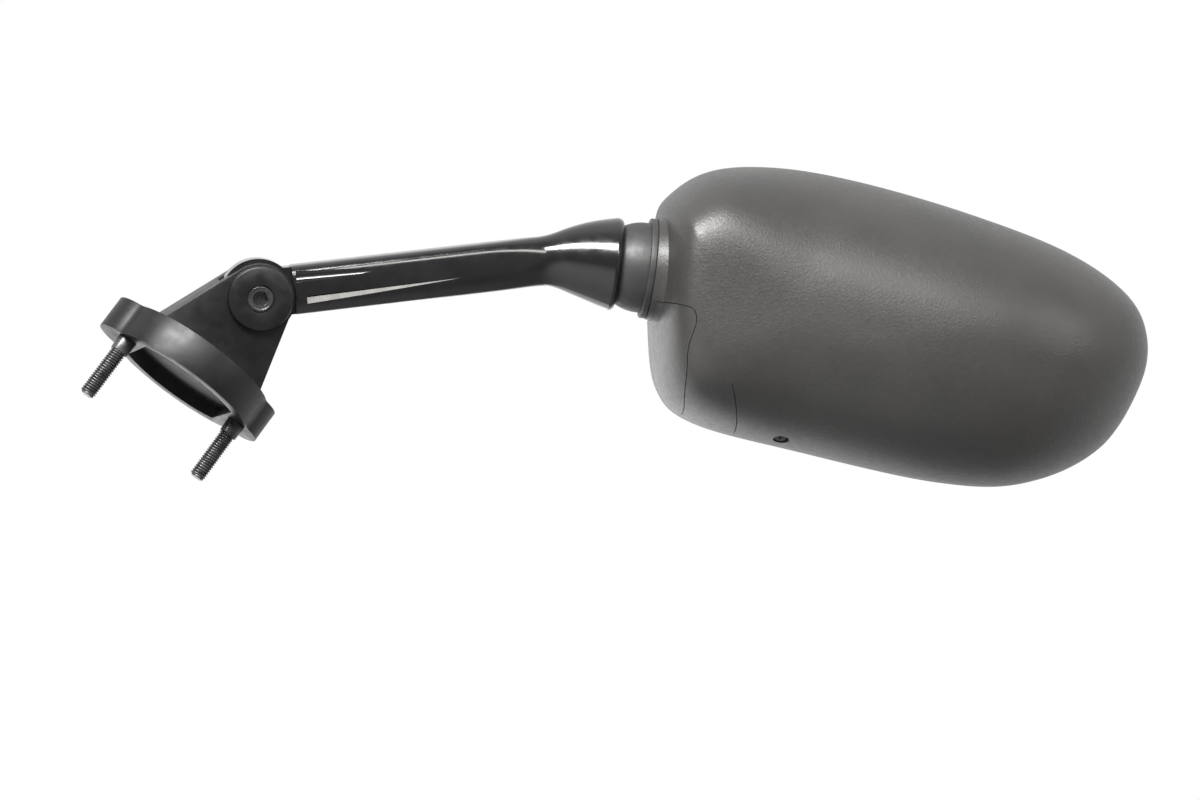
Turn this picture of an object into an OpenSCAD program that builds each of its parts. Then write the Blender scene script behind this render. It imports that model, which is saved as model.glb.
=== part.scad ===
/* [Mounting base] */
// Distance between the two mounting studs
stud_spacing = 50; // [44:1:60]
// Thread diameter of the studs
stud_d = 6; // [5:1:7]
// Length of a stud below the mounting face
stud_len = 25; // [15:1:40]
// Diameter of the plain shoulder next to the plate
shoulder_d = 7; // [6.5:0.5:8]
// Length of the plain shoulder
shoulder_len = 5.5; // [3:0.5:8]
// Depth of a stud inside the casting
stud_grip = 9; // [7:0.5:10]
// Thickness of the base plate
plate_t = 12.5; // [12:0.5:16]
// Radius of the round end beside each stud
lobe_r = 13; // [12:0.5:14]
// Offset of the round ends from the stud line
lobe_y = 6.5; // [3:0.5:8]
// Offset of the round ends towards the middle
lobe_inset = 2.5; // [0:0.5:4]
// Radius of the round middle of the plate
middle_r = 30; // [27:0.5:32]
// Offset of the round middle from the stud line
middle_y = 4.5; // [1:0.5:6]
// Radius of the hollow corners between middle and ends
plate_fillet = 6; // [4:1:9]
// Depth of the hollow in the mounting face
recess_depth = 5; // [3:0.5:6]
// Width of the rim around the hollow
rim_w = 5; // [4:0.5:7]

/* [Fold pivot] */
// Height of the pivot above the mounting face
pivot_h = 43; // [40:0.5:48]
// Offset of the pivot along the stud line
pivot_x = 3.5; // [0:0.5:6]
// Lean of the ears from the plate's normal, degrees
ear_lean = 14.4; // [10:0.2:16]
// Radius of the rounded ear ends
ear_r = 12.6; // [12:0.2:13.4]
// Thickness of the ear with the boss
ear_near_t = 6.5; // [5.5:0.5:8]
// Thickness of the ear with the nut
ear_far_t = 7; // [5:0.5:8]
// Radius of the round boss on the ear
boss_r = 12; // [11:0.2:12.4]
// Height of the round boss
boss_h = 2.5; // [1.5:0.5:4]
// Foot of the ears along the stud line, left of the pivot
ear_foot_left = 28; // [22:1:29]
// Foot of the ears along the stud line, right of the pivot
ear_foot_right = 25; // [20:1:26]
// Thread diameter of the pivot screw
pivot_screw_d = 6; // [5:1:6]
// Head diameter of the pivot screw
pivot_head_d = 10; // [9:0.5:11]
// Head height of the pivot screw
pivot_head_h = 6; // [4:0.5:6.5]
// Hexagon socket of the pivot screw, across flats
socket_af = 5; // [4:1:6]
// Outer diameter of the bush that the arm turns on
bush_d = 10; // [9:0.5:12]
// Thickness of each friction washer
washer_t = 0.5; // [0.3:0.1:1]
// Nut size across flats
nut_af = 10; // [9:0.5:11]
// Nut height
nut_h = 5; // [4:0.5:7]

/* [Arm] */
// Distance from pivot to ball centre
arm_reach = 145; // [130:1:170]
// Angle of the arm above the plate, degrees
arm_rise = 42.4; // [35:0.5:60]
// Thickness of the arm's tongue between the ears
tongue_t = 8; // [6:0.5:10]
// Radius of the tongue's round end
knuckle_r = 14; // [13.6:0.2:15]
// Width of the arm
arm_w = 16; // [14:0.5:18]
// Height of the arm near the pivot
arm_h_root = 18.6; // [17.4:0.2:20]
// Height of the arm before the bell
arm_h_tip = 18.5; // [17:0.5:20]
// Depth of the upper flute in each side of the arm
flute_depth = 1.6; // [1:0.2:2.4]
// Radius of the upper flute at its wide end
flute_r = 2.8; // [2:0.2:3.4]
// Width of the lower flute at its wide end
low_flute_w = 3.4; // [2:0.2:4]
// Length of the lower flute
low_flute_len = 86.5; // [60:0.5:90]
// Outer radius of the bell's lip
bell_r = 17.6; // [17.2:0.1:19]
// Droop of the bell against the arm, degrees
neck_droop = 10.8; // [0:0.2:16]
// Turn of the bell out of the arm's plane, degrees
neck_turn = 7.9; // [0:0.1:12]

/* [Ball joint] */
// Radius of the ball
ball_r = 7.5; // [7:0.1:8]
// Radius of the ball's stem
stem_r = 3.5; // [3:0.1:3.7]
// Radius of the stem's shank inside the arm
shank_r = 4.5; // [4:0.1:5]
// Length of the shank inside the arm
shank_len = 14; // [10:1:18]
// Thickness of the plastic seats around the ball
seat_t = 2; // [1.6:0.1:2.2]
// Radius of the round neck
neck_r = 17.1; // [16.6:0.1:17.4]
// Radius of the collar on the neck
collar_r = 19; // [18.2:0.1:19.2]
// Gap between the neck and the bell
neck_gap = 0.4; // [0.3:0.05:0.6]
// Running clearance of turning parts
fit_gap = 0.05; // [0.03:0.01:0.08]

/* [Mirror head] */
// Height of the shell's dome in front of the neck's axis
dome_front = 38; // [34:1:44]
// Depth of the shell behind the neck's axis
dome_back = 26; // [25:0.5:30]
// Wall of the shell
shell_wall = 2.5; // [2:0.1:3]
// Scale of the shell's outline
head_scale = 1; // [0.96:0.01:1.04]
// Roll of the head about the neck's axis, degrees
head_roll = 82.6; // [70:0.2:95]
// Thickness of the mirror glass
glass_t = 2.2; // [1.8:0.1:3]
// Depth of the glass inside the rim
glass_recess = 1; // [0.5:0.1:2]
// Thickness of the foam behind the glass
foam_t = 0.8; // [0.5:0.1:1.5]
// Thickness of the backing plate
backing_t = 3; // [2.4:0.1:3.2]
// Width of the rubber rim around the glass
seal_w = 2; // [1.5:0.1:3]
// Gap between the corner cover and the shell
seam = 0.3; // [0.2:0.05:0.5]
// Diameter of the screw well in the shell
well_d = 6; // [5:0.1:7]
// Thread diameter of the small screws
small_screw_d = 3; // [2.5:0.5:3]

/* [Hidden] */
round_fn = 48;
plate_fn = 144;
small_fn = 32;
eps = 0.01;
bore_gap = 0.05;

// Widths across the pivot
slot_w = tongue_t + 2 * washer_t;
near_face = -slot_w / 2 - ear_near_t;
far_face = slot_w / 2 + ear_far_t;
boss_face = near_face - boss_h;
counterbore_y = boss_face + pivot_head_h + 0.4;
slot_r = knuckle_r + 1.5;
ear_depth = pivot_h - 3;
ear_room = 2 * middle_r;
ear_root = 4;
stud_mouth = 0.6;

// Arm line in the arm's own frame: X towards the ball, Y along the pivot
ball_at = [arm_reach, -3, 0];
neck_dir = [
    cos(neck_droop) * cos(neck_turn),
    -cos(neck_droop) * sin(neck_turn),
    -sin(neck_droop)
];
bend_back = 29;
bend_len = 16;
flare_back = 40;
arm_root = [13, 0, 1.3];
arm_bend = ball_at - bend_back * neck_dir;
arm_dir = unit(arm_bend - arm_root);
flute_start = 1;
flute_end = 13;
flute_tip_r = 0.5;
flute_dip = 0.9;
flute_z = [7, 8];
low_flute_x0 = arm_root[0] + 4.5;
low_flute_x1 = low_flute_x0 + low_flute_len;
low_flute_z = [-2.5, 2.5];
low_flute_tip_w = 0.7;
floor_slope = 19;
round_back = 30;
square_back = 62;
lip_back = 10.8;
mouth_back = 8.7;
shoulder_r = ear_r + 1;
cavity_r = neck_r + neck_gap;
cavity_back = 24;

// Ball joint along the neck's axis, X away from the arm, ball centre at 0
seat_r = ball_r + seat_t;
cup_r = seat_r + 1.8;
cup_bore_r = cup_r + 0.2;
cup_x0 = 0.8;
cup_x1 = seat_r + 1.5;
neck_x0 = -13.9;
neck_inner_x = -7;
neck_x1 = 11.5;
collar_x0 = 1.5;
collar_x1 = 4;
throat_x = collar_x1 + 0.2;
pad_x = 12;
pad_r = 19.3;
throat_flare = [[8, 20], [12, 22.4], [16, 25.9], [16, 0]];
spring_t = 0.8;
spring_rise = 0.7;
spring_x1 = cup_x1 + 2 * (spring_t + spring_rise);
clamp_t = 2.5;
clamp_r = 18.6;
clamp_screw_r = (cup_bore_r + neck_r) / 2;
clamp_room_x = pad_x + clamp_t + 2.6;
clamp_room_r = clamp_r + 0.4;
clamp_screw_len = 9;

// Mirror shell, X along the neck's axis, Y up, Z out of the dome
head_x0 = 5.5;
head_x1 = 203;
crown_left = [33, -9.5];
crown_right = [95, -13];
fullness_far = 2.6;
fullness_near = 4.8;
fullness_reach = 75;
outline = [
    [7.5, -20], [14, -45], [30, -56.5], [72, -62.5], [128, -67.8], [163, -64], [190, -47], [203, -20],
    [203, 0], [192, 15.5], [166, 28.6], [125, 38.5], [82, 45], [50, 46.2], [24, 41.5], [9, 29.5],
    [5.5, 19], [5.5, 0]
];
outline_steps = 3;
dome_levels = 9;
dome_h = dome_front + dome_back;
rim_z = -dome_back;
glass_z = rim_z + glass_recess;
foam_z = glass_z + glass_t;
backing_z = foam_z + foam_t;
post_z = backing_z + backing_t;
seal_gap = 0.2;
small_head_r = small_screw_d * 0.9;
small_head_h = 1.6;
glass_inset = shell_wall + seal_gap + seal_w + seal_gap;
backing_inset = shell_wall + 1;
post_r = 3.6;
posts = [[34, 26], [150, 10], [140, -48], [40, -36]];
rib_x = 46;
rib_len = 96;
rib_h = 5;
rib_t = 1.2;
rib_rows = [-36, -18, 0, 18];
well = [61.5, -57.5, -2];
well_tilt = 35;
well_depth = 3;
well_boss_r = well_d / 2 + 1.4;
well_boss_len = 8;
well_screw_len = 11;
lug_w = 7;
lug_y = 5.5;
lug_top = 6.6;
seam_line = [
    [-8, -14], [8, -12.5], [18, -14.2], [19.4, -18.6], [17.4, -28.5], [20, -46], [24.6, -56],
    [28, -80], [-8, -80]
];
cover_z = rim_z + 6;

function unit(v) = v / norm(v);
function mix(a, b, k) = a * (1 - k) + b * k;
function ease(k) = (1 - cos(180 * min(1, max(0, k)))) / 2;
function bezier(a, b, c, k) = mix(mix(a, b, k), mix(b, c, k), k);
// Smooth closed curve through four neighbouring points
function spline(a, b, c, d, k) =
    0.5 * (2 * b + (c - a) * k + (2 * a - 5 * b + 4 * c - d) * k * k
    + (3 * b - a - 3 * c + d) * k * k * k);

// Skin of a closed solid over rings that all have n points, capped at both ends
function skin_faces(n, m) = concat(
    [[for (i = [0 : n - 1]) i]],
    [for (j = [0 : m - 2], i = [0 : n - 1]) [
        j * n + i, (j + 1) * n + i, (j + 1) * n + (i + 1) % n]],
    [for (j = [0 : m - 2], i = [0 : n - 1]) [
        j * n + i, (j + 1) * n + (i + 1) % n, j * n + (i + 1) % n]],
    [[for (i = [n - 1 : -1 : 0]) (m - 1) * n + i]]
);
module skin(rings) {
    n = len(rings[0]);
    polyhedron([for (r = rings) for (p = r) p], skin_faces(n, len(rings)), convexity = 6);
}
// Body of revolution about X from [x, radius] points
module turned(profile, fn = round_fn) {
    rotate([0, 90, 0]) rotate_extrude($fn = fn) polygon([for (p = profile) [p[1], p[0]]]);
}
module rod(x0, x1, r, fn = round_fn) {
    translate([x0, 0, 0]) rotate([0, 90, 0]) cylinder(h = x1 - x0, r = r, $fn = fn);
}
// Rod along the pivot's axis
module pin(y0, y1, r, fn = round_fn) {
    translate([0, y0, 0]) rotate([-90, 0, 0]) cylinder(h = y1 - y0, r = r, $fn = fn);
}
module hex_prism(h, af) {
    cylinder(h = h, r = af / 2 / cos(30), $fn = 6);
}

module at_pivot() translate([pivot_x, 0, pivot_h]) rotate([ear_lean, 0, 0]) children();
module at_arm() at_pivot() rotate([0, -arm_rise, 0]) children();
module at_bell() translate(ball_at) rotate([0, neck_droop, -neck_turn]) children();
module at_head() at_arm() at_bell() rotate([head_roll, 0, 0]) children();

// Plate outline with hollow corners between the middle and the two ends
module plate_outline() {
    offset(r = -plate_fillet, $fn = plate_fn) offset(r = plate_fillet, $fn = plate_fn) {
        translate([0, middle_y]) circle(r = middle_r, $fn = plate_fn);
        for (side = [-1, 1]) translate([side * (stud_spacing / 2 - lobe_inset), lobe_y])
            circle(r = lobe_r, $fn = plate_fn);
    }
}
module recess_outline() {
    intersection() {
        translate([0, middle_y]) circle(r = middle_r - rim_w, $fn = plate_fn);
        square([stud_spacing - 2 * (stud_d / 2 + 2.4), 3 * middle_r], center = true);
    }
}
module ear_outline() {
    circle(r = ear_r, $fn = plate_fn);
    polygon([
        [-ear_foot_left, -ear_depth], [-ear_r * cos(22), ear_r * sin(22)],
        [ear_r * cos(17), ear_r * sin(17)], [ear_foot_right, -ear_depth]
    ]);
}
module ears() {
    difference() {
        translate([0, far_face, 0]) rotate([90, 0, 0])
            linear_extrude(far_face - near_face) ear_outline();
        pin(-slot_w / 2, slot_w / 2, slot_r);
        translate([-2 * slot_r, -slot_w / 2, 0]) cube([4 * slot_r, slot_w, 2 * slot_r]);
    }
    rotate([90, 0, 0]) rotate_extrude($fn = round_fn) polygon([
        [0, -near_face - 1], [boss_r, -near_face - 1], [boss_r, -boss_face - 0.9],
        [boss_r - 0.3, -boss_face - 0.3], [boss_r - 0.9, -boss_face], [0, -boss_face]
    ]);
}
module base_casting() {
    color([0.06, 0.06, 0.065]) difference() {
        union() {
            linear_extrude(plate_t) plate_outline();
            intersection() {
                at_pivot() ears();
                translate([-ear_room, -ear_room, plate_t - ear_root])
                    cube([2 * ear_room, 2 * ear_room, 2 * ear_room]);
            }
        }
        translate([0, 0, -eps]) linear_extrude(recess_depth + eps) recess_outline();
        for (side = [-1, 1]) translate([side * stud_spacing / 2, 0, -eps])
            cylinder(h = stud_grip + eps + 0.3, r = stud_d / 2 + bore_gap, $fn = round_fn);
        for (side = [-1, 1]) translate([side * stud_spacing / 2, 0, -eps])
            cylinder(h = stud_mouth, r = shoulder_d / 2 + 0.15, $fn = round_fn);
        at_pivot() {
            pin(boss_face - 1, far_face + 1, pivot_screw_d / 2 + bore_gap);
            pin(boss_face - 1, counterbore_y, pivot_head_d / 2 + 0.15);
        }
    }
}
module stud() {
    chamfer = 0.8;
    color([0.1, 0.1, 0.11]) translate([0, 0, -stud_len]) rotate_extrude($fn = round_fn) polygon([
        [0, 0], [stud_d / 2 - chamfer, 0], [stud_d / 2, chamfer],
        [stud_d / 2, stud_len - shoulder_len - 0.5], [shoulder_d / 2, stud_len - shoulder_len],
        [shoulder_d / 2, stud_len], [stud_d / 2, stud_len], [stud_d / 2, stud_len + stud_grip],
        [0, stud_len + stud_grip]
    ]);
}
module stud_left() translate([-stud_spacing / 2, 0, 0]) stud();
module stud_right() translate([stud_spacing / 2, 0, 0]) stud();

module pivot_screw() {
    head_y = counterbore_y - pivot_head_h;
    color([0.12, 0.12, 0.13]) at_pivot() difference() {
        union() {
            pin(head_y, counterbore_y, pivot_head_d / 2);
            pin(counterbore_y - eps, far_face + nut_h + 1.5, pivot_screw_d / 2);
        }
        translate([0, head_y - eps, 0]) rotate([-90, 0, 0]) hex_prism(pivot_head_h / 2, socket_af);
    }
}
module pivot_nut() {
    color([0.45, 0.45, 0.47]) at_pivot() translate([0, far_face, 0]) rotate([-90, 0, 0])
        difference() {
            hex_prism(nut_h, nut_af);
            translate([0, 0, -1]) cylinder(h = nut_h + 2, r = pivot_screw_d / 2 + bore_gap, $fn = round_fn);
        }
}
module pivot_bush() {
    color([0.6, 0.6, 0.62]) at_pivot() difference() {
        pin(-slot_w / 2, slot_w / 2, bush_d / 2);
        pin(-slot_w, slot_w, pivot_screw_d / 2 + bore_gap);
    }
}
module washer(y0) {
    at_pivot() difference() {
        pin(y0, y0 + washer_t, ear_r - 1.5);
        pin(y0 - 1, y0 + washer_t + 1, bush_d / 2 + bore_gap);
    }
}
module washer_near() color([0.75, 0.7, 0.55]) washer(-slot_w / 2);
module washer_far() color([0.55, 0.55, 0.57]) washer(tongue_t / 2);

// One ring of the arm: centre, direction, half width, half height and squareness
function arm_ring(c, dir, hw, hh, sq) =
    let (side = unit(cross([0, 0, 1], dir)), up = cross(dir, side), n = 32)
    [for (i = [0 : n - 1])
        let (a = 360 * i / n, x = cos(a), z = sin(a))
        c + side * hw * sign(x) * pow(abs(x), 2 / sq) + up * hh * sign(z) * pow(abs(z), 2 / sq)];
function bell_half(back) = mix(arm_h_tip / 2, bell_r, swell((flare_back - back) / (flare_back - lip_back)));
// How far the bell has opened: a soft start, then nearly straight sides that round off at the mouth
function opening(k) = k <= 0 ? 0 : k < 0.3 ? k * k / 0.6 : k - 0.15;
function swell(k) = let (s = min(1, opening(k) / 0.85)) s * (1.35 - 0.35 * s);
function squareness(back) = 2 + 2 * ease((back - round_back) / (square_back - round_back));
function bell_width(back) = mix(arm_w / 2, bell_r, swell((flare_back - back) / (flare_back - lip_back)));
function arm_rings() =
    let (
        start = arm_bend - bend_len * arm_dir,
        end = ball_at - (bend_back - bend_len) * neck_dir,
        straight = 6,
        curved = 9,
        run = norm(start - arm_root)
    )
    concat(
        [for (i = [0 : straight - 1]) let (k = i / straight)
            arm_ring(mix(arm_root, start, k), arm_dir, arm_w / 2,
                mix(arm_h_root, arm_h_tip, k) / 2,
                squareness(bend_back + bend_len + run * (1 - k)))],
        [for (i = [0 : curved - 1]) let (k = i / curved, back = bend_back + bend_len * (1 - 2 * k))
            arm_ring(bezier(start, arm_bend, end, k),
                unit(mix(arm_dir, neck_dir, k)), bell_width(back), bell_half(back), squareness(back))],
        [for (b = [[lip_back, bell_r], [lip_back - 1, bell_r - 0.25], [mouth_back, bell_r - 1.1]])
            arm_ring(ball_at - b[0] * neck_dir, neck_dir, b[1], b[1], 2)]
    );
// Upper flute: a round groove that tapers towards the bell
module flute(side) {
    length = arm_bend[0] - arm_root[0] - flute_start - flute_end;
    translate([arm_root[0] + flute_start, side * (arm_w / 2 + flute_r - flute_depth), flute_z[0]])
        rotate([0, 90 - atan((flute_z[1] - flute_z[0]) / length), side * flute_dip])
            cylinder(h = length, r1 = flute_r, r2 = flute_tip_r, $fn = small_fn);
}
// Lower flute: a tapering wedge with a steep upper wall and a sloping floor
function low_flute_ring(x, z, w) = [
    [x, arm_w / 2 + 1, z - w / 2 - 1 / tan(floor_slope)], [x, arm_w / 2 + 1, z + w / 2 + 0.2],
    [x, arm_w / 2 - w * tan(floor_slope), z + w / 2]
];
module low_flute() {
    skin([
        low_flute_ring(low_flute_x0, low_flute_z[0], low_flute_w),
        low_flute_ring(low_flute_x1, low_flute_z[1], low_flute_tip_w)
    ]);
}
module arm() {
    tongue_end = arm_root[0] + 6;
    color([0.03, 0.03, 0.035]) at_arm() difference() {
        union() {
            difference() {
                skin(arm_rings());
                pin(-arm_w, -tongue_t / 2, shoulder_r);
                pin(tongue_t / 2, arm_w, shoulder_r);
            }
            pin(-tongue_t / 2, tongue_t / 2, knuckle_r);
            translate([0, -tongue_t / 2, arm_root[2] - arm_h_root / 2 + 0.5])
                cube([tongue_end, tongue_t, arm_h_root - 1]);
        }
        pin(-arm_w, arm_w, bush_d / 2 + fit_gap);
        for (side = [-1, 1]) {
            flute(side);
            mirror([0, side < 0 ? 1 : 0, 0]) low_flute();
        }
        at_bell() {
            turned([
                [-cavity_back, 0], [-cavity_back, 8], [-cavity_r * cos(40), cavity_r * sin(40)],
                [-cavity_r * cos(50), cavity_r * sin(50)], [-mouth_back - 1, sqrt(pow(cavity_r, 2) - pow(mouth_back + 1, 2))],
                [-mouth_back + 1, sqrt(pow(cavity_r, 2) - pow(mouth_back + 1, 2)) + 1],
                [-mouth_back + 1, 0]
            ]);
            sphere(r = cavity_r, $fn = round_fn);
            rod(-cavity_back - shank_len, 0, shank_r + bore_gap);
        }
    }
}
module ball_stud() {
    color([0.7, 0.7, 0.72]) at_arm() at_bell() {
        sphere(r = ball_r, $fn = round_fn);
        rod(-cavity_back - 0.5, 0, stem_r);
        rod(-cavity_back - shank_len, -cavity_back, shank_r);
    }
}

// Half profile from x0 to x1 along the neck's axis, turned into a body about that axis
module lathe(x0, x1) {
    rotate([0, 90, 0]) rotate_extrude($fn = round_fn) intersection() {
        children();
        translate([0, x0]) square([2 * neck_r, x1 - x0]);
    }
}
// Zone of a hollow ball between two planes across the neck's axis
module zone(x0, x1, inner, outer) {
    lathe(x0, x1) difference() {
        circle(r = outer, $fn = round_fn);
        circle(r = inner, $fn = round_fn);
    }
}
module seat_front() color([0.85, 0.85, 0.82]) at_arm() at_bell() zone(-5, -2, ball_r + fit_gap, seat_r);
module seat_rear() color([0.85, 0.85, 0.82]) at_arm() at_bell() zone(1, 6.5, ball_r + fit_gap, seat_r);

module clamp_screw_places() {
    for (a = [90 : 120 : 330]) rotate([a, 0, 0]) translate([0, 0, clamp_screw_r]) children();
}
module neck() {
    color([0.09, 0.09, 0.09]) at_head() difference() {
        lathe(neck_x0, neck_x1) difference() {
            union() {
                circle(r = neck_r, $fn = round_fn);
                square([neck_r, neck_x1]);
                polygon([
                    [0, collar_x0], [collar_r - 0.6, collar_x0], [collar_r, collar_x0 + 0.6],
                    [collar_r, collar_x1 - 0.6], [collar_r - 0.6, collar_x1], [0, collar_x1]
                ]);
            }
            polygon([[0, neck_x0 - 1], [9.4, neck_x0 - 1], [6.3, neck_inner_x], [0, neck_inner_x]]);
            circle(r = seat_r + fit_gap, $fn = round_fn);
            translate([0, 0.5]) square([cup_bore_r, neck_x1]);
        }
        clamp_screw_places() rod(pad_x + clamp_t - clamp_screw_len - 0.5, neck_x1 + 1,
            small_screw_d / 2 + bore_gap, small_fn);
    }
}
module clamp_cup() {
    color([0.8, 0.8, 0.78]) at_head() difference() {
        rod(cup_x0, cup_x1, cup_r);
        sphere(r = seat_r + fit_gap, $fn = round_fn);
    }
}
module disc_spring(x, flip) {
    translate([x, 0, 0]) mirror([flip, 0, 0]) turned([
        [0, cup_r - 0.6], [spring_rise, 5], [spring_rise + spring_t, 5], [spring_t, cup_r - 0.6]
    ]);
}
module disc_springs() {
    color([0.6, 0.6, 0.62]) at_head() {
        disc_spring(cup_x1, 0);
        disc_spring(spring_x1, 1);
    }
}
module clamp_plate() {
    color([0.5, 0.5, 0.52]) at_head() difference() {
        turned([
            [pad_x, cup_bore_r], [pad_x, clamp_r], [pad_x + clamp_t, clamp_r], [pad_x + clamp_t, cup_bore_r + 2],
            [spring_x1 + clamp_t, cup_bore_r + 2], [spring_x1 + clamp_t, 4], [spring_x1, 4], [spring_x1, cup_bore_r]
        ]);
        clamp_screw_places() rod(pad_x - 1, pad_x + clamp_t + 3, small_screw_d / 2 + 0.1, small_fn);
        clamp_screw_places() rod(pad_x + clamp_t, pad_x + clamp_t + 5, small_head_r + 0.2, small_fn);
    }
}
module clamp_screws() {
    color([0.6, 0.6, 0.6]) at_head() clamp_screw_places() {
        rod(pad_x + clamp_t - clamp_screw_len, pad_x + clamp_t, small_screw_d / 2, small_fn);
        rod(pad_x + clamp_t, pad_x + clamp_t + small_head_h, small_head_r, small_fn);
    }
}

// Point of the crown line that each point of the outline belongs to
function crown_at(p) = mix(crown_left, crown_right, (p[0] - head_x0) / (head_x1 - head_x0));
// Outline of the head, pulled in by inset towards the crown
function outline_curve() = let (n = len(outline))
    [for (i = [0 : n - 1], j = [0 : outline_steps - 1])
        spline(outline[(i + n - 1) % n], outline[i], outline[(i + 1) % n], outline[(i + 2) % n],
            j / outline_steps) * head_scale];
function outline_in(inset) =
    [for (p = outline_curve()) let (c = crown_at(p), v = p - c) c + v * (1 - inset / norm(v))];
// Fullness of the dome: steep above the neck, round at the far end
function fullness(p) = fullness_far + fullness_near * pow(max(0, 1 - p[0] / fullness_reach), 2);
function dome_ring(inset, top, base, k) = [for (p = outline_in(inset))
    let (t = pow(cos(90 * k), 2 / fullness(p)), q = mix(crown_at(p), p, t))
    [q[0], q[1], base + (top - base) * sin(90 * k)]];
module dome(inset, top, base) {
    skin([for (i = [0 : dome_levels]) dome_ring(inset, top, base, i / (dome_levels + 0.4))]);
}
module throat() {
    turned(concat([[throat_x, 0], [throat_x, pad_r]], throat_flare));
}
// Frame of the screw well, Z out of the shell along the screw
module at_well() translate(well) rotate([well_tilt, 0, 0]) children();
module head_body() {
    dome(0, dome_front, rim_z);
    throat();
}
module head_cavity() {
    difference() {
        union() {
            dome(shell_wall, dome_front - shell_wall, rim_z);
            translate([0, 0, rim_z - 1]) linear_extrude(post_z - rim_z + 1) polygon(outline_in(shell_wall));
        }
        rod(0, pad_x, pad_r);
        for (p = posts) translate([p[0], p[1], post_z]) cylinder(h = dome_h, r = post_r, $fn = small_fn);
        at_well() translate([0, 0, -well_boss_len]) cylinder(h = dome_h, r = well_boss_r, $fn = small_fn);
    }
}
module cover_region(grow) {
    difference() {
        translate([0, 0, cover_z - grow]) linear_extrude(dome_h) offset(delta = grow) polygon(seam_line);
        rod(-1, pad_x + 1, pad_r + seam - grow);
    }
}
module shell() {
    color([0.17, 0.16, 0.155]) at_head() difference() {
        head_body();
        head_cavity();
        rod(-neck_r, throat_x, collar_r + seam);
        rod(0, pad_x + 1, neck_r + 0.1);
        rod(pad_x, clamp_room_x, clamp_room_r);
        cover_region(seam);
        for (p = posts) translate([p[0], p[1], post_z - 1])
            cylinder(h = 10, r = small_screw_d / 2 + bore_gap, $fn = small_fn);
        at_well() {
            translate([0, 0, -well_boss_len - 1])
                cylinder(h = well_boss_len + 1, r = small_screw_d / 2 + 0.1, $fn = small_fn);
            translate([0, 0, -well_depth]) cylinder(h = well_boss_len, r = well_d / 2, $fn = small_fn);
        }
    }
}
module corner_cover() {
    color([0.2, 0.19, 0.185]) at_head() intersection() {
        difference() {
            head_body();
            dome(shell_wall, dome_front - shell_wall, rim_z);
            rod(-neck_r, throat_x, collar_r + seam);
            rod(pad_x, clamp_room_x, clamp_room_r);
        }
        cover_region(0);
    }
}
module small_screw(length, head_r) {
    translate([0, 0, -length]) cylinder(h = length + eps, r = small_screw_d / 2, $fn = small_fn);
    difference() {
        cylinder(h = small_head_h, r = head_r, $fn = small_fn);
        translate([0, 0, small_head_h / 2]) for (a = [0, 90]) rotate([0, 0, a])
            translate([-head_r * 0.6, -0.4, 0]) cube([head_r * 1.2, 0.8, small_head_h]);
    }
}
module shell_screw() {
    color([0.3, 0.3, 0.32]) at_head() at_well() translate([0, 0, -well_depth])
        small_screw(well_screw_len, well_d / 2 - 0.2);
}
module backing_plate() {
    color([0.13, 0.13, 0.13]) at_head() difference() {
        union() {
            translate([0, 0, backing_z]) linear_extrude(backing_t) polygon(outline_in(backing_inset));
            for (y = rib_rows) translate([rib_x, y, post_z - eps]) cube([rib_len, rib_t, rib_h]);
            translate([well[0] - lug_w / 2, well[1] + lug_y, post_z - eps])
                cube([lug_w, lug_w + 1, well[2] - lug_top - post_z + eps]);
        }
        rod(0, clamp_room_x, pad_r + seam);
        at_well() translate([0, 0, -well_depth - well_screw_len - 0.5])
            cylinder(h = well_screw_len, r = small_screw_d / 2 + bore_gap, $fn = small_fn);
        for (p = posts) translate([p[0], p[1], backing_z - 1])
            cylinder(h = backing_t + 2, r = small_screw_d / 2 + 0.1, $fn = small_fn);
        for (p = posts) translate([p[0], p[1], backing_z - 1])
            cylinder(h = small_head_h + 1, r = small_head_r + 0.2, $fn = small_fn);
    }
}
module backing_screws() {
    color([0.6, 0.6, 0.6]) at_head() for (p = posts) translate([p[0], p[1], backing_z + small_head_h])
        mirror([0, 0, 1]) small_screw(8, small_head_r);
}
module glass_pad() {
    color([0.1, 0.1, 0.1]) at_head() translate([0, 0, foam_z]) linear_extrude(foam_t)
        polygon(outline_in(glass_inset + 2));
}
module mirror_glass() {
    color([0.75, 0.8, 0.85]) at_head() translate([0, 0, glass_z]) linear_extrude(glass_t)
        polygon(outline_in(glass_inset));
}
module rim_seal() {
    color([0.05, 0.05, 0.05]) at_head() translate([0, 0, glass_z]) linear_extrude(backing_z - glass_z)
        difference() {
            polygon(outline_in(shell_wall + seal_gap));
            polygon(outline_in(shell_wall + seal_gap + seal_w));
        }
}

base_casting();
stud_left();
stud_right();
pivot_screw();
pivot_nut();
pivot_bush();
washer_near();
washer_far();
arm();
ball_stud();
seat_front();
seat_rear();
neck();
clamp_cup();
disc_springs();
clamp_plate();
clamp_screws();
shell();
corner_cover();
shell_screw();
backing_plate();
backing_screws();
glass_pad();
mirror_glass();
rim_seal();
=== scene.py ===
import math

import bmesh
import bpy
from mathutils import Matrix, Vector


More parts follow.
